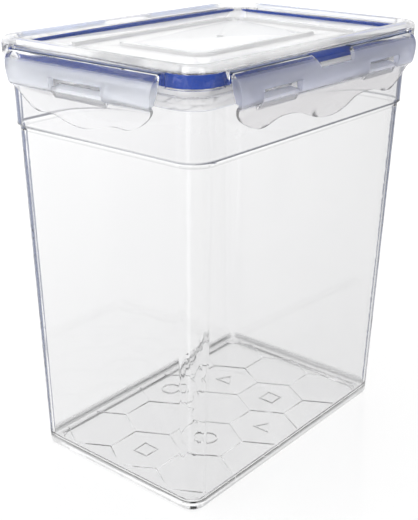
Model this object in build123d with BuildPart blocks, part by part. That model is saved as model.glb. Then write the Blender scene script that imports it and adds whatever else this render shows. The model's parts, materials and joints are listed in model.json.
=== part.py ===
from build123d import *
import os

# Clip-lid food canister: a tall tub, a lid with a seal ring, and four locking flaps.
# Origin at the middle of the underside; +X along the long side, -Y is the front, +Z up.

# ---- driving dimensions, millimetres ----
lid_length = 204.0
lid_width = 139.0
lid_radius = 16.2
total_height = 239.0

base_length = 180.0
base_width = 117.0
base_radius = 9.0
wall = 2.3
floor_top = 4.0
foot_inset = 7.0
foot_recess = 1.0

step_bottom = 191.6           # where the body widens into the collar
step_top = 193.7
body_spread = 11.4            # how much longer and wider the body is at its top
collar_spread = 14.0
collar_top = 218.4            # underside of the rim flange
flange_top = 221.0
ledge_bottom = 224.4          # thin plate around the rim
ledge_thickness = 0.9
rim_top = 228.5               # top edge of the tub, which the seal sits on

skirt_bottom = 228.2          # lid
skirt_thickness = 1.6
groove_roof = 235.2
panel_top = 234.0
panel_thickness = 1.8
rib_height = 2.0
rib_half_width = 1.2
rib_bend = 8.5
lid_rim_width = 7.5
plug_bottom = 226.0
hinge_recess = 1.2
hinge_recess_top = 235.6

hexagon_side = 21.0
emboss_height = 0.5

# distances inwards from the lid's outline
skirt_inner = skirt_thickness
seal_outer = 3.3
seal_inner = 7.8
rim_wall_outer = 3.6
rim_wall_inner = rim_wall_outer + wall
plug_outer = 8.1
plug_inner = plug_outer + 1.6
ledge_reach = 1.9

# flap section, as distances outwards from the lid's outline (negative is inwards)
hinge_reach = 1.9
hinge_height = 234.6
lug_reach = 0.8
web_thickness = 0.7

long_flap_half = 80.5
short_flap_half = 49.5
window_top = 225.3
window_bottom = 215.2
window_frame = 1.6
ridge_height = 218.7           # grip ridge along the bottom of the thick part
end_wall = 1.9
lug_clearance = 0.7
lug_bottom = 221.9
lug_top = 224.9
ear_width = 1.8                # small stops on the lid beside each flap
ear_height = 6.0

long_windows = [(-62.0, -31.0), (31.0, 62.0)]
short_windows = [(-17.6, 17.6)]
back_rib = [(-74.0, 36.0), (58.5, 36.0), (58.5, -47.0)]
front_rib = [(-57.5, 18.0), (-57.5, -33.8), (38.6, -33.8)]


def rounded(plane_height, inset, extra_radius=0.0):
    """The lid's outline, moved inwards by an inset, as a sketch at a height."""
    with BuildSketch(Plane.XY.offset(plane_height)) as outline:
        RectangleRounded(
            lid_length - 2 * inset,
            lid_width - 2 * inset,
            lid_radius - inset + extra_radius,
        )
    return outline.sketch


def band(plane_height, outer_inset, inner_inset):
    """A closed band that follows the lid's outline, as a sketch at a height."""
    with BuildSketch(Plane.XY.offset(plane_height)) as outline:
        add(rounded(0, outer_inset))
        add(rounded(0, inner_inset), mode=Mode.SUBTRACT)
    return outline.sketch


# ---------------------------------------------------------------- tub
def hexagon_centres():
    """Cell centres of the honeycomb that covers the floor."""
    column_step = 1.5 * hexagon_side
    row_step = 3**0.5 * hexagon_side
    centres = []
    for column in range(-3, 4):
        shift = row_step / 2 if column % 2 else 0.0
        for row in range(-2, 3):
            centres.append((column * column_step, row * row_step + shift))
    return centres


def make_container():
    body_top = (base_length + body_spread, base_width + body_spread, 12.8)
    collar_low = (base_length + collar_spread, base_width + collar_spread, 13.6)
    collar_high = (collar_low[0] + 0.8, collar_low[1] + 0.8, 13.9)
    with BuildPart() as tub:
        # drafted body, sloped step, collar
        with BuildSketch(Plane.XY):
            RectangleRounded(base_length, base_width, base_radius)
        with BuildSketch(Plane.XY.offset(step_bottom)):
            RectangleRounded(*body_top)
        loft()
        fillet(tub.edges().group_by(Axis.Z)[0], 2.2)
        with BuildSketch(Plane.XY.offset(step_bottom)):
            RectangleRounded(*body_top)
        with BuildSketch(Plane.XY.offset(step_top)):
            RectangleRounded(body_top[0] + 1.2, body_top[1] + 1.2, body_top[2] + 0.5)
        loft()
        with BuildSketch(Plane.XY.offset(step_top)):
            RectangleRounded(*collar_low)
        with BuildSketch(Plane.XY.offset(collar_top)):
            RectangleRounded(*collar_high)
        loft()
        # rim flange, its upright wall and the thin ledge around it
        add(rounded(collar_top, rim_wall_outer))
        extrude(amount=rim_top - collar_top)
        add(rounded(ledge_bottom, ledge_reach))
        extrude(amount=ledge_thickness)
        # hollow, from the floor up
        with BuildSketch(Plane.XY.offset(floor_top)):
            RectangleRounded(base_length - 2 * wall, base_width - 2 * wall, base_radius - wall)
        with BuildSketch(Plane.XY.offset(step_bottom)):
            RectangleRounded(body_top[0] - 2 * wall, body_top[1] - 2 * wall, body_top[2] - wall)
        loft(mode=Mode.SUBTRACT)
        floor_edges = tub.edges().filter_by_position(Axis.Z, floor_top - 0.05, floor_top + 0.05)
        fillet(floor_edges, 3.5)
        with BuildSketch(Plane.XY.offset(step_bottom)):
            RectangleRounded(body_top[0] - 2 * wall, body_top[1] - 2 * wall, body_top[2] - wall)
        with BuildSketch(Plane.XY.offset(step_top)):
            RectangleRounded(collar_low[0] - 2 * wall, collar_low[1] - 2 * wall, collar_low[2] - wall)
        loft(mode=Mode.SUBTRACT)
        with BuildSketch(Plane.XY.offset(step_top)):
            RectangleRounded(collar_low[0] - 2 * wall, collar_low[1] - 2 * wall, collar_low[2] - wall)
        with BuildSketch(Plane.XY.offset(flange_top)):
            RectangleRounded(collar_high[0] - 2 * wall, collar_high[1] - 2 * wall, collar_high[2] - wall)
        loft(mode=Mode.SUBTRACT)
        add(rounded(flange_top, rim_wall_inner))
        extrude(amount=rim_top - flange_top, mode=Mode.SUBTRACT)
        # locking lugs, one in each flap window
        for half, windows, outward in flap_sides():
            face = side_face(outward)
            side_offset = side_distance(outward)
            for low, high in windows:
                with BuildSketch(face.offset(side_offset - rim_wall_outer - 0.5)):
                    with Locations(((low + high) / 2, (lug_bottom + lug_top) / 2)):
                        Rectangle(high - low - 2 * lug_clearance, lug_top - lug_bottom)
                extrude(amount=rim_wall_outer + 0.5 + lug_reach)
        # honeycomb ridges on the floor
        with BuildSketch(Plane.XY.offset(floor_top)):
            with Locations(*hexagon_centres()):
                RegularPolygon(hexagon_side + 0.4, 6)
            with Locations(*hexagon_centres()):
                RegularPolygon(hexagon_side - 0.4, 6, mode=Mode.SUBTRACT)
            RectangleRounded(base_length - 12, base_width - 12, base_radius - 2, mode=Mode.INTERSECT)
        extrude(amount=emboss_height)
        # plain marks in a few of the cells
        with BuildSketch(Plane.XY.offset(floor_top)):
            with Locations((-31.5, -18.2), (0, 36.4)):
                Circle(6.0)
                Circle(5.2, mode=Mode.SUBTRACT)
            with Locations((31.5, -18.2), (-63.0, 0)):
                Rectangle(10.5, 10.5)
                Rectangle(9.0, 9.0, mode=Mode.SUBTRACT)
            with Locations((0, -36.4), (31.5, 18.2)):
                RegularPolygon(6.5, 3)
                RegularPolygon(4.9, 3, mode=Mode.SUBTRACT)
        extrude(amount=emboss_height)
        # recess under the floor, which leaves a foot ring
        with BuildSketch(Plane.XY):
            RectangleRounded(
                base_length - 2 * foot_inset, base_width - 2 * foot_inset, base_radius - 3
            )
        extrude(amount=foot_recess, mode=Mode.SUBTRACT)
    return tub


# ---------------------------------------------------------------- sides
def flap_sides():
    """Half length, windows and outward direction of each flap: front, back, left, right."""
    return [
        (long_flap_half, long_windows, (0, -1, 0)),
        (long_flap_half, long_windows, (0, 1, 0)),
        (short_flap_half, short_windows, (-1, 0, 0)),
        (short_flap_half, short_windows, (1, 0, 0)),
    ]


def side_distance(outward):
    """How far the lid's outline is from the middle on this side."""
    return lid_length / 2 if outward[0] else lid_width / 2


def side_face(outward):
    """Plane through the origin that looks outwards, with X along the side and Y up."""
    along = (-outward[1], outward[0], 0)
    return Plane(origin=(0, 0, 0), x_dir=along, z_dir=outward)


def side_section(outward):
    """Plane across the side, with X outwards from the lid's outline and Y up."""
    across = (outward[1], -outward[0], 0)
    distance = side_distance(outward)
    origin = (outward[0] * distance, outward[1] * distance, 0)
    return Plane(origin=origin, x_dir=outward, z_dir=across)


# ---------------------------------------------------------------- lid
def make_lid():
    rim_inner = lid_rim_width
    with BuildPart() as cover:
        # rim and skirt, with the rim's top rounded over
        add(rounded(skirt_bottom, 0))
        extrude(amount=total_height - skirt_bottom)
        fillet(cover.edges().group_by(Axis.Z)[-1], 2.4)
        # sunk top panel with sloping sides
        add(rounded(panel_top, rim_inner + 1.6))
        add(rounded(total_height - 1.4, rim_inner))
        loft(mode=Mode.SUBTRACT)
        add(rounded(total_height - 1.4, rim_inner))
        add(rounded(total_height + 0.1, rim_inner - 1.2))
        loft(mode=Mode.SUBTRACT)
        # groove for the seal, between the skirt and the plug
        add(band(skirt_bottom, skirt_inner, plug_outer))
        extrude(amount=groove_roof - skirt_bottom, mode=Mode.SUBTRACT)
        # hollow inside the plug ring, under the panel
        add(rounded(skirt_bottom, plug_outer))
        extrude(amount=panel_top - panel_thickness - skirt_bottom, mode=Mode.SUBTRACT)
        # plug ring that goes into the tub's mouth
        add(band(plug_bottom, plug_outer, plug_inner))
        extrude(amount=panel_top - panel_thickness - plug_bottom)
        # two raised ribs on the panel, each bent once and rounded at its ends
        for points in (back_rib, front_rib):
            with BuildSketch(Plane.XY.offset(panel_top)):
                with BuildLine():
                    FilletPolyline(*points, radius=rib_bend)
                    offset(amount=rib_half_width, side=Side.BOTH)
                make_face()
            extrude(amount=rib_height)
        # moulding gate mark
        with BuildSketch(Plane.XY.offset(panel_top)):
            Circle(1.9)
            Circle(0.7, mode=Mode.SUBTRACT)
        extrude(amount=0.4)
        # recesses in the rim's side where the flaps hang
        for half, windows, outward in flap_sides():
            face = side_face(outward)
            middle = (plug_bottom + hinge_recess_top) / 2
            with BuildSketch(face.offset(side_distance(outward) - hinge_recess)):
                with Locations((0, middle)):
                    Rectangle(2 * half + 3.0, hinge_recess_top - plug_bottom)
            extrude(amount=hinge_recess + 1, mode=Mode.SUBTRACT)
            with BuildSketch(face.offset(side_distance(outward) - hinge_recess)):
                for end in (-1, 1):
                    with Locations((end * (half + 0.6 + ear_width / 2), hinge_recess_top - ear_height / 2)):
                        Rectangle(ear_width, ear_height)
            extrude(amount=hinge_recess + 1.6)
    return cover


def make_seal():
    with BuildPart() as ring:
        add(band(rim_top + 0.1, seal_outer, seal_inner))
        extrude(amount=groove_roof - 0.2 - rim_top - 0.1)
        # short inner lip, which hangs into the tub's mouth
        add(band(rim_top - 0.6, seal_inner - 1.5, seal_inner))
        extrude(amount=1.5)
    return ring


# ---------------------------------------------------------------- flaps
def make_flap(half, windows, outward, lower_edge, notch):
    """A bulged shell with end walls and window frames, and a wavy grip tab below it."""
    face = side_face(outward)
    section = side_section(outward)
    reach = side_distance(outward) + 20
    tab_end = lower_edge[0][1] - 1
    outer_curve = [
        (2.8, 234.7), (4.5, 233.2), (6.6, 229.5), (7.0, 225.5), (6.7, 221.5), (6.0, ridge_height),
    ]
    frame_outline = [
        (5.8, 219.0), (6.2, 221.5), (6.4, 225.5), (5.2, 227.6), (3.4, 225.5), (3.7, 219.4),
    ]
    with BuildPart() as flap:
        # bulged shell and tab
        with BuildSketch(section):
            with BuildLine():
                Spline(*outer_curve)
                Spline((6.0, ridge_height), (4.2, 217.3), (2.9, 214.5), (2.6, 209.0), (2.9, tab_end))
                Line((2.9, tab_end), (1.5, tab_end))
                Spline((1.5, tab_end), (1.2, 209.0), (1.4, 214.2), (2.6, 217.6), (4.5, 219.6))
                Spline((4.5, 219.6), (5.1, 222.0), (5.4, 225.5), (4.9, 229.0), (3.1, 231.8), (1.7, 233.4))
                Line((1.7, 233.4), (2.8, 234.7))
            make_face()
        extrude(amount=half, both=True)
        # end walls close the shell, and low frames stand beside the windows
        for low, high in windows:
            for frame_end in (low, high + window_frame):
                with BuildSketch(section.offset(-frame_end)):
                    Polygon(*frame_outline, align=None)
                extrude(amount=window_frame)
        for low, high in [(-half, -half + end_wall), (half - end_wall, half)]:
            with BuildSketch(section.offset(-high)):
                with BuildLine():
                    Spline(*outer_curve)
                    Polyline((6.0, ridge_height), (3.8, 219.2), (2.4, 226.0), (1.7, 233.4), (2.8, 234.7))
                make_face()
            extrude(amount=high - low)
        # outline seen from the front: tapered ends and a wavy lower edge
        with BuildSketch(face):
            with BuildLine():
                Spline(*lower_edge)
                Polyline(lower_edge[-1], (half - 2.0, 220.0), (half, 232.0), (half, 236.0), (0, 236.0))
                Line((0, 236.0), (0, lower_edge[0][1]))
            make_face()
            mirror(about=Plane.YZ)
        extrude(amount=reach, mode=Mode.INTERSECT)
        # windows, and on the long flaps a notch in the middle of the top edge
        with BuildSketch(face):
            for low, high in windows:
                with Locations(((low + high) / 2, (window_bottom + window_top) / 2)):
                    Rectangle(high - low, window_top - window_bottom)
            if notch:
                with Locations((0, 232.2)):
                    Trapezoid(38.0, 7.4, 60, rotation=180)
        extrude(amount=reach, mode=Mode.SUBTRACT)
    return flap


def make_catch(low, high, outward):
    """The sloped bar across a window, which snaps under the tub's lug."""
    with BuildPart() as bar:
        with BuildSketch(side_section(outward).offset(-high)):
            with BuildLine():
                Polyline(
                    (-0.6, 221.4), (4.9, 220.5), (5.3, 218.9), (3.1, 215.3),
                    (1.7, 215.3), (0.6, 218.8), (-0.6, 221.4),
                )
            make_face()
        extrude(amount=high - low)
    return bar


def make_web(low, high, outward):
    """Thin living hinge between the lid's rim and the top edge of a flap."""
    with BuildPart() as web:
        with BuildSketch(side_section(outward).offset(-high)):
            with Locations(((hinge_reach - hinge_recess) / 2, hinge_height)):
                Rectangle(hinge_reach + hinge_recess, web_thickness)
        extrude(amount=high - low)
    return web


# ---------------------------------------------------------------- build and write
os.makedirs("parts", exist_ok=True)


def write(builder, name):
    builder.part.label = name
    export_step(builder.part, f"parts/{name}.step")


# wavy lower edges of the flaps, from the middle to one end
long_edge = [
    (0, 201.6), (9.2, 202.4), (17.0, 204.5), (25.0, 207.3), (36.0, 208.7), (43.5, 208.4),
    (58.0, 205.7), (63.0, 206.4), (68.5, 208.8), (74.0, 212.2), (75.8, 214.5),
]
short_edge = [
    (0, 202.8), (4.5, 203.1), (14.0, 205.2), (20.0, 206.6), (31.0, 206.7), (37.0, 209.0),
    (43.0, 213.5), (46.0, 217.0),
]

write(make_container(), "container")
write(make_lid(), "lid")
write(make_seal(), "seal_ring")

side_names = ["front", "back", "left", "right"]
for side, (half, windows, outward) in zip(side_names, flap_sides()):
    is_long = side in ("front", "back")
    edge = long_edge if is_long else short_edge
    write(make_flap(half, windows, outward, edge, is_long), f"{side}_flap")
    for number, (low, high) in enumerate(windows, start=1):
        write(make_catch(low + 0.1, high - 0.1, outward), f"{side}_catch_{number}")
    webs = [(-half + 0.5, -19.0), (19.0, half - 0.5)] if is_long else [(-half + 0.5, half - 0.5)]
    for number, (low, high) in enumerate(webs, start=1):
        write(make_web(low, high, outward), f"{side}_hinge_{number}")
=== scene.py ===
import json
import math

import bmesh
import bpy
from mathutils import Matrix, Vector


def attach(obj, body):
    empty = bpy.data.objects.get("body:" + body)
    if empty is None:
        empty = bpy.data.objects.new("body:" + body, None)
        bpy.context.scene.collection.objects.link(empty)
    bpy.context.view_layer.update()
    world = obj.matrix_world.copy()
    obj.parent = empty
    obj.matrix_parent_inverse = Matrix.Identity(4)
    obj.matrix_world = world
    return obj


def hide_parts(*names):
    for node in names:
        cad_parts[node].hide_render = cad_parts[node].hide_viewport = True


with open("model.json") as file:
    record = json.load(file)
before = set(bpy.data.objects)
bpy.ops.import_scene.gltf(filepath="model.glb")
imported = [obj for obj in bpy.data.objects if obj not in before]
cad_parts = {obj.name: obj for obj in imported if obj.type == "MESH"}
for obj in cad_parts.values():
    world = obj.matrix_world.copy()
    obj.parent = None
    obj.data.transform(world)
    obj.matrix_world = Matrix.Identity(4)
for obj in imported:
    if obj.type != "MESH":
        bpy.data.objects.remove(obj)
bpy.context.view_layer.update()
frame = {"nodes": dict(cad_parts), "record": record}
record = frame["record"]
nodes = frame["nodes"]

SENSOR_MM = 36.0
LENS_MM = 67.59
MERGE_M = 0.000002
SHARP_DEGREES = 28


# ---------------------------------------------------------------- small helpers
def new_material(name):
    """A node material with just its shader and output, and its Object coordinates."""
    material = bpy.data.materials.new(name)
    material.use_nodes = True
    tree = material.node_tree
    shader = tree.nodes["Principled BSDF"]
    coords = tree.nodes.new("ShaderNodeTexCoord")
    return material, tree, shader, coords.outputs["Object"]


def noise(tree, coords, scale, detail=3.0, roughness=0.5, stretch=(1, 1, 1)):
    """A noise pattern on the piece, per metre, stretched along its axes."""
    mapping = tree.nodes.new("ShaderNodeMapping")
    mapping.inputs["Scale"].default_value = stretch
    tree.links.new(coords, mapping.inputs["Vector"])
    texture = tree.nodes.new("ShaderNodeTexNoise")
    texture.inputs["Scale"].default_value = scale
    texture.inputs["Detail"].default_value = detail
    texture.inputs["Roughness"].default_value = roughness
    tree.links.new(mapping.outputs["Vector"], texture.inputs["Vector"])
    return texture.outputs["Fac"]


def remap(tree, value, low, high):
    """The pattern's middle range spread from low to high."""
    node = tree.nodes.new("ShaderNodeMapRange")
    node.inputs["From Min"].default_value = 0.3
    node.inputs["From Max"].default_value = 0.7
    node.inputs["To Min"].default_value = low
    node.inputs["To Max"].default_value = high
    tree.links.new(value, node.inputs["Value"])
    return node.outputs["Result"]


def bump(tree, shader, pattern, distance):
    """Bump from one height pattern, in metres."""
    node = tree.nodes.new("ShaderNodeBump")
    node.inputs["Distance"].default_value = distance
    node.inputs["Strength"].default_value = 1.0
    tree.links.new(pattern, node.inputs["Height"])
    tree.links.new(node.outputs["Normal"], shader.inputs["Normal"])


def math_node(tree, operation, first, second=None):
    """One Math node on two values, which may be numbers or sockets."""
    node = tree.nodes.new("ShaderNodeMath")
    node.operation = operation
    for socket, value in zip(node.inputs, (first, second)):
        if value is None:
            continue
        if isinstance(value, (int, float)):
            socket.default_value = value
        else:
            tree.links.new(value, socket)
    return node.outputs["Value"]


def blend_colours(tree, factor, low, high):
    """Colour from low to high by a factor; each colour is three numbers or a socket."""
    node = tree.nodes.new("ShaderNodeMix")
    node.data_type = "RGBA"
    tree.links.new(factor, node.inputs["Factor"])
    for socket, colour in ((node.inputs[6], low), (node.inputs[7], high)):
        if isinstance(colour, tuple):
            socket.default_value = (*colour, 1)
        else:
            tree.links.new(colour, socket)
    return node.outputs[2]


def between(tree, value, low, high, start=0.0, end=1.0):
    """Smooth step of a value between two limits."""
    node = tree.nodes.new("ShaderNodeMapRange")
    node.interpolation_type = "SMOOTHSTEP"
    node.inputs["From Min"].default_value = low
    node.inputs["From Max"].default_value = high
    node.inputs["To Min"].default_value = start
    node.inputs["To Max"].default_value = end
    tree.links.new(value, node.inputs["Value"])
    return node.outputs["Result"]


def place_of(tree, coords):
    """Distance from the middle along and across, and height, in metres, as the piece lies at rest."""
    split = tree.nodes.new("ShaderNodeSeparateXYZ")
    tree.links.new(coords, split.inputs["Vector"])
    along = math_node(tree, "ABSOLUTE", split.outputs["X"])
    across = math_node(tree, "ABSOLUTE", split.outputs["Y"])
    return along, across, split.outputs["Z"]


def strip(tree, value, low, high, soft):
    """1 between two limits and 0 outside them, with soft sides."""
    rise = between(tree, value, low - soft, low + soft)
    fall = between(tree, value, high - soft, high + soft, 1.0, 0.0)
    return math_node(tree, "MULTIPLY", rise, fall)


def grazing(tree, low, high):
    """0 where the surface faces the eye, rising to 1 where it turns away."""
    weight = tree.nodes.new("ShaderNodeLayerWeight")
    weight.inputs["Blend"].default_value = 0.5
    return between(tree, weight.outputs["Facing"], low, high)


# ---------------------------------------------------------------- materials
def scuffed(tree, shader, coords, roughness, wave):
    """Fine scuffs in the gloss and slow moulding waves in the surface."""
    scuffs = noise(tree, coords, 260, 4, 0.6, (1, 1, 0.25))
    tree.links.new(remap(tree, scuffs, roughness * 0.4, roughness * 1.6), shader.inputs["Roughness"])
    flow = noise(tree, coords, 14, 2, 0.4, (1, 1, 0.35))
    bump(tree, shader, flow, wave)


def tub_plastic():
    """Clear moulded plastic, with painted shade: dark lines where its vertical corners turn away and along
    the step.
    """
    material, tree, shader, coords = new_material("clear_body")
    shader.inputs["IOR"].default_value = 1.46
    along, across, height = place_of(tree, coords)
    # the foot's outer edge scatters light and reads paler
    foot_ring = math_node(
        tree, "MAXIMUM", between(tree, along, 0.0882, 0.0889), between(tree, across, 0.0567, 0.0574)
    )
    foot = math_node(tree, "MULTIPLY", foot_ring, between(tree, height, 0.0030, 0.0080, 0.62, 0.0))
    foot = math_node(tree, "SUBTRACT", 1.0, foot)
    flange = between(tree, height, 0.2180, 0.2190, 1.0, 0.68)
    tree.links.new(math_node(tree, "MULTIPLY", foot, flange), shader.inputs["Transmission Weight"])
    cloud = noise(tree, coords, 22, 3, 0.5, (1, 1, 0.3))
    colour = blend_colours(tree, remap(tree, cloud, 0.0, 1.0), (0.90, 0.90, 0.902), (0.885, 0.885, 0.89))
    # the collar is a little thicker and greyer than the body
    colour = blend_colours(tree, between(tree, height, 0.1935, 0.1965), colour, (0.842, 0.842, 0.85))
    # painted shade: a near-black edge where a vertical corner turns away; the long path through the wall
    # would darken it a little, the rest is painted shade
    corner = math_node(
        tree, "MULTIPLY", between(tree, along, 0.0805, 0.0835), between(tree, across, 0.0495, 0.0520)
    )
    below_flange = between(tree, height, 0.2160, 0.2170, 1.0, 0.0)
    corner = math_node(tree, "MULTIPLY", corner, below_flange)
    corner = math_node(tree, "MULTIPLY", corner, between(tree, height, 0.0040, 0.0080))
    painted_edge_shade = math_node(tree, "MULTIPLY", corner, grazing(tree, 0.44, 0.52))
    colour = blend_colours(tree, painted_edge_shade, colour, (0.03, 0.04, 0.09))
    # painted shade: grey-blue where the walls turn edge-on, above the foot and below the flange
    edge_on_shade = math_node(tree, "MULTIPLY", grazing(tree, 0.70, 0.97), between(tree, height, 0.008, 0.014))
    edge_on_shade = math_node(tree, "MULTIPLY", edge_on_shade, below_flange)
    colour = blend_colours(tree, edge_on_shade, colour, (0.45, 0.47, 0.54))
    # painted shade lines along the step's edges, painted darker on the long sides
    long_side = between(tree, across, 0.0610, 0.0640)
    step_line = strip(tree, height, 0.1931, 0.1942, 0.0002)
    step_shade_colour = blend_colours(tree, long_side, (0.52, 0.53, 0.55), (0.16, 0.165, 0.20))
    colour = blend_colours(tree, step_line, colour, step_shade_colour)
    # a fainter painted shade line along the step's lower edge
    lower_line = strip(tree, height, 0.1909, 0.1914, 0.0002)
    colour = blend_colours(tree, lower_line, colour, (0.70, 0.70, 0.71))
    # painted shade on the undersides of the flange and of the thin ledge above it
    for low, high in ((0.2181, 0.2187), (0.2242, 0.2247)):
        colour = blend_colours(tree, strip(tree, height, low, high, 0.0001), colour, (0.70, 0.71, 0.76))
    tree.links.new(colour, shader.inputs["Base Color"])
    scuffed(tree, shader, coords, 0.03, 0.00008)
    return material


def lid_plastic():
    """Lid moulding: softer and whiter across the panel and the rim's top, clear down the skirt."""
    material, tree, shader, coords = new_material("clear_lid")
    shader.inputs["IOR"].default_value = 1.26
    along, across, height = place_of(tree, coords)
    inside_ends = between(tree, along, 0.0920, 0.0932, 1.0, 0.0)
    inside_sides = between(tree, across, 0.0595, 0.0607, 1.0, 0.0)
    panel = math_node(tree, "MULTIPLY", inside_ends, inside_sides)
    outside = math_node(
        tree, "MAXIMUM", between(tree, along, 0.0985, 0.0990), between(tree, across, 0.0660, 0.0665)
    )
    crown = between(tree, height, 0.2358, 0.2372)
    clear = between(tree, panel, 0.0, 1.0, 1.0, 0.5)
    clear = math_node(tree, "MULTIPLY", clear, between(tree, crown, 0.0, 1.0, 1.0, 0.66))
    tree.links.new(clear, shader.inputs["Transmission Weight"])
    cloud = noise(tree, coords, 30, 3, 0.5)
    colour = blend_colours(tree, cloud, (0.99, 0.99, 0.993), (0.978, 0.978, 0.98))
    # painted shade: the sides of the ribs and of the rim's inner wall are painted as thin grey lines
    rib_wall_shade = math_node(tree, "MULTIPLY", panel, strip(tree, height, 0.2341, 0.2359, 0.0001))
    colour = blend_colours(tree, rib_wall_shade, colour, (0.82, 0.82, 0.83))
    # painted shade: a grey line along the rim's outer edge
    rim_edge_shade = strip(tree, height, 0.2355, 0.2360, 0.0001)
    colour = blend_colours(tree, math_node(tree, "MULTIPLY", rim_edge_shade, outside), colour, (0.72, 0.73, 0.77))
    # painted shade where the lid's surfaces turn edge-on
    colour = blend_colours(tree, grazing(tree, 0.78, 0.98), colour, (0.74, 0.76, 0.80))
    tree.links.new(colour, shader.inputs["Base Color"])
    scuffed(tree, shader, coords, 0.08, 0.00005)
    return material


def flap_plastic():
    """Flap moulding: milky in the thick upper part, nearly clear in the thin grip tab."""
    material, tree, shader, coords = new_material("milky_flap")
    shader.inputs["IOR"].default_value = 1.33
    along, across, height = place_of(tree, coords)
    # the strip below the hinge is clear: deeper on the short flaps than on the long ones
    short_flap = between(tree, along, 0.0990, 0.1000)
    deep = between(tree, height, 0.2303, 0.2324, 1.0, 0.0)
    shallow = between(tree, height, 0.2318, 0.2330, 1.0, 0.0)
    upper = tree.nodes.new("ShaderNodeMix")
    tree.links.new(short_flap, upper.inputs["Factor"])
    tree.links.new(shallow, upper.inputs[2])
    tree.links.new(deep, upper.inputs[3])
    thick = math_node(tree, "MULTIPLY", between(tree, height, 0.2165, 0.2205), upper.outputs[0])
    # painted shade where the flap's surfaces turn edge-on
    painted_edge_shade = grazing(tree, 0.55, 0.98)
    # painted shade: the long flaps' tab and milky tones are painted darker than the short flaps', the milky
    # tone also bluer
    tab = blend_colours(tree, short_flap, (0.885, 0.875, 0.88), (0.93, 0.93, 0.935))
    tab = blend_colours(tree, between(tree, height, 0.222, 0.228), tab, (0.96, 0.965, 0.98))
    milky = blend_colours(tree, short_flap, (0.73, 0.75, 0.86), (0.93, 0.95, 1.0))
    face = blend_colours(tree, thick, tab, milky)
    tree.links.new(blend_colours(tree, painted_edge_shade, face, (0.70, 0.72, 0.80)), shader.inputs["Base Color"])
    clear = between(tree, height, 0.2220, 0.2280, 0.88, 1.0)
    veil = between(tree, thick, 0.0, 1.0, 1.0, 0.87)
    tree.links.new(math_node(tree, "MULTIPLY", clear, veil), shader.inputs["Transmission Weight"])
    cloud = noise(tree, coords, 120, 3, 0.5)
    haze = between(tree, thick, 0.0, 1.0, 0.06, 0.35)
    haze = math_node(tree, "MULTIPLY", haze, remap(tree, cloud, 0.85, 1.15))
    tree.links.new(haze, shader.inputs["Roughness"])
    bump(tree, shader, noise(tree, coords, 60, 3, 0.5), 0.00003)
    return material


def hinge_plastic():
    """Thin pale strip that the flap turns on."""
    material, tree, shader, coords = new_material("hinge_plastic")
    shader.inputs["Transmission Weight"].default_value = 0.93
    shader.inputs["IOR"].default_value = 1.33
    cloud = noise(tree, coords, 200, 3, 0.5)
    colour = blend_colours(tree, cloud, (0.42, 0.56, 0.92), (0.48, 0.62, 0.95))
    tree.links.new(colour, shader.inputs["Base Color"])
    tree.links.new(remap(tree, cloud, 0.06, 0.12), shader.inputs["Roughness"])
    return material


def seal_silicone():
    """Saturated blue silicone, smooth with a faint moulding bloom."""
    material, tree, shader, coords = new_material("blue_silicone")
    bloom = noise(tree, coords, 90, 4, 0.6)
    colour = blend_colours(tree, bloom, (0.001, 0.045, 0.36), (0.003, 0.060, 0.44))
    tree.links.new(colour, shader.inputs["Base Color"])
    tree.links.new(remap(tree, bloom, 0.10, 0.18), shader.inputs["Roughness"])
    shader.inputs["IOR"].default_value = 1.36
    bump(tree, shader, noise(tree, coords, 900, 2), 0.00001)
    return material


materials = {
    "clear_body": tub_plastic(),
    "clear_lid": lid_plastic(),
    "blue_seal": seal_silicone(),
    "milky_flap": flap_plastic(),
    "hinge_plastic": hinge_plastic(),
}


# ---------------------------------------------------------------- the moulded pieces
def smooth_piece(name, slot, body, flat_walls):
    """A merged copy of a moulded piece, with soft shading and crisp edges only where it is angled."""
    mesh = nodes[name].data.copy()
    mesh.name = name + "_finish"
    edit = bmesh.new()
    edit.from_mesh(mesh)
    bmesh.ops.remove_doubles(edit, verts=edit.verts, dist=MERGE_M)
    edit.to_mesh(mesh)
    edit.free()
    mesh.shade_smooth()
    mesh.set_sharp_from_angle(angle=math.radians(SHARP_DEGREES))
    mesh.materials.clear()
    mesh.materials.append(materials[slot])
    piece = bpy.data.objects.new(name + "_finish", mesh)
    bpy.context.collection.objects.link(piece)
    if flat_walls:
        flatten = piece.modifiers.new("flat_walls", "WEIGHTED_NORMAL")
        flatten.mode = "FACE_AREA"
        flatten.weight = 100
        flatten.keep_sharp = True
    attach(piece, body)
    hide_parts(name)


bodies_of = {node: body for body, names in record["behaviour"]["bodies"].items() for node in names}
for entry in record["subparts"]:
    node = entry["node"]
    smooth_piece(node, entry["material_slot"], bodies_of[node], node in ("container", "lid", "seal_ring"))


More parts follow.
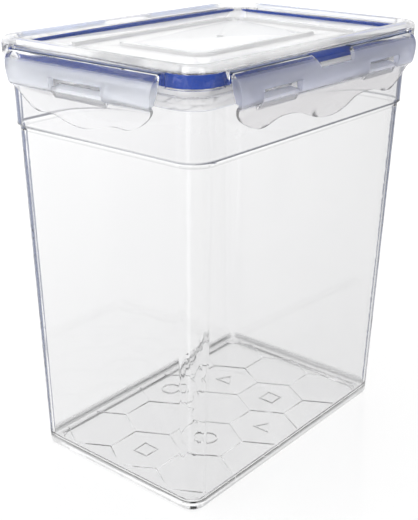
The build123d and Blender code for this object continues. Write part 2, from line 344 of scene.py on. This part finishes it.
# ---------------------------------------------------------------- studio
def make_floor():
    """Pale table that glows as a lamp: evenly where the camera sees it, and a little darker to the front
    right in the light it gives the pieces.
    """
    bpy.ops.mesh.primitive_plane_add(size=12.0, location=(0, 0, -0.0006))
    floor = bpy.context.object
    floor.name = "studio_floor"
    material, tree, shader, coords = new_material("pale_floor")
    shader.inputs["Base Color"].default_value = (0.12, 0.12, 0.12, 1)
    shader.inputs["Roughness"].default_value = 0.16
    split = tree.nodes.new("ShaderNodeSeparateXYZ")
    tree.links.new(coords, split.inputs["Vector"])
    across = math_node(tree, "SUBTRACT", split.outputs["X"], split.outputs["Y"])
    level = between(tree, across, -0.5, 0.9, 0.92, 0.62)
    # a brighter glowing strip on the table to the front left, which the rounded front corner mirrors as a
    # highlight
    ahead = math_node(tree, "ADD", math_node(tree, "MULTIPLY", split.outputs["X"], -0.766), -0.1075)
    ahead = math_node(tree, "SUBTRACT", ahead, math_node(tree, "MULTIPLY", split.outputs["Y"], 0.643))
    aside = math_node(tree, "MULTIPLY", split.outputs["X"], 0.643)
    aside = math_node(tree, "SUBTRACT", aside, math_node(tree, "MULTIPLY", split.outputs["Y"], 0.766))
    aside = math_node(tree, "ADD", aside, 0.0119)
    slant = math_node(tree, "DIVIDE", aside, math_node(tree, "MAXIMUM", ahead, 0.01))
    glow = strip(tree, slant, -0.62, -0.22, 0.10)
    glow = math_node(tree, "MULTIPLY", glow, between(tree, ahead, 0.02, 0.06))
    level = math_node(tree, "ADD", level, math_node(tree, "MULTIPLY", glow, 0.9))
    path = tree.nodes.new("ShaderNodeLightPath")
    seen = between(tree, path.outputs["Is Camera Ray"], 0.0, 1.0)
    shader.inputs["Emission Color"].default_value = (1, 1, 1, 1)
    mix = tree.nodes.new("ShaderNodeMix")
    tree.links.new(seen, mix.inputs["Factor"])
    tree.links.new(level, mix.inputs[2])
    mix.inputs[3].default_value = 0.81
    tree.links.new(mix.outputs[0], shader.inputs["Emission Strength"])
    floor.data.materials.append(material)


def make_world():
    """White studio, a little darker towards the front right."""
    world = bpy.data.worlds.new("studio")
    world.use_nodes = True
    bpy.context.scene.world = world
    tree = world.node_tree
    background = tree.nodes["Background"]
    background.inputs["Color"].default_value = (1, 1, 1, 1)
    coords = tree.nodes.new("ShaderNodeTexCoord")
    facing = tree.nodes.new("ShaderNodeVectorMath")
    facing.operation = "DOT_PRODUCT"
    facing.inputs[1].default_value = (0.70, -0.70, -0.15)
    tree.links.new(coords.outputs["Generated"], facing.inputs[0])
    level = between(tree, facing.outputs["Value"], -0.2, 0.9, 1.08, 0.55)
    tree.links.new(level, background.inputs["Strength"])


def area_light(name, place, target, size, power):
    """Soft rectangular lamp aimed at a point."""
    data = bpy.data.lights.new(name, "AREA")
    data.shape = "RECTANGLE"
    data.size, data.size_y = size
    data.energy = power
    light = bpy.data.objects.new(name, data)
    light.location = place
    light.rotation_euler = (Vector(target) - Vector(place)).to_track_quat("-Z", "Y").to_euler()
    bpy.context.collection.objects.link(light)


def make_camera():
    """Camera at the front-left corner, a little above the lid."""
    yaw, pitch, roll = math.radians(50.75), math.radians(21.64), math.radians(0.49)
    forward = Vector((math.sin(yaw) * math.cos(pitch), math.cos(yaw) * math.cos(pitch), -math.sin(pitch)))
    level = Vector((math.cos(yaw), -math.sin(yaw), 0))
    upright = level.cross(forward)
    right = math.cos(roll) * level + math.sin(roll) * upright
    up = -math.sin(roll) * level + math.cos(roll) * upright
    data = bpy.data.cameras.new("camera")
    data.sensor_width = SENSOR_MM
    data.lens = LENS_MM
    camera = bpy.data.objects.new("camera", data)
    place = Matrix((right, up, -forward)).transposed().to_4x4()
    place.translation = (-0.4194, -0.3364, 0.3167)
    camera.matrix_world = place
    bpy.context.collection.objects.link(camera)
    bpy.context.scene.camera = camera


make_floor()
make_world()
area_light("key", (-0.9, 0.3, 1.3), (0, 0, 0.12), (1.0, 1.0), 12.0)
area_light("fill", (0.3, -1.4, 1.0), (0, 0, 0.12), (1.2, 0.8), 5.0)
make_camera()

scene = bpy.context.scene
scene.view_settings.view_transform = "Standard"
scene.cycles.max_bounces = 24
scene.cycles.transmission_bounces = 24
scene.cycles.transparent_max_bounces = 16
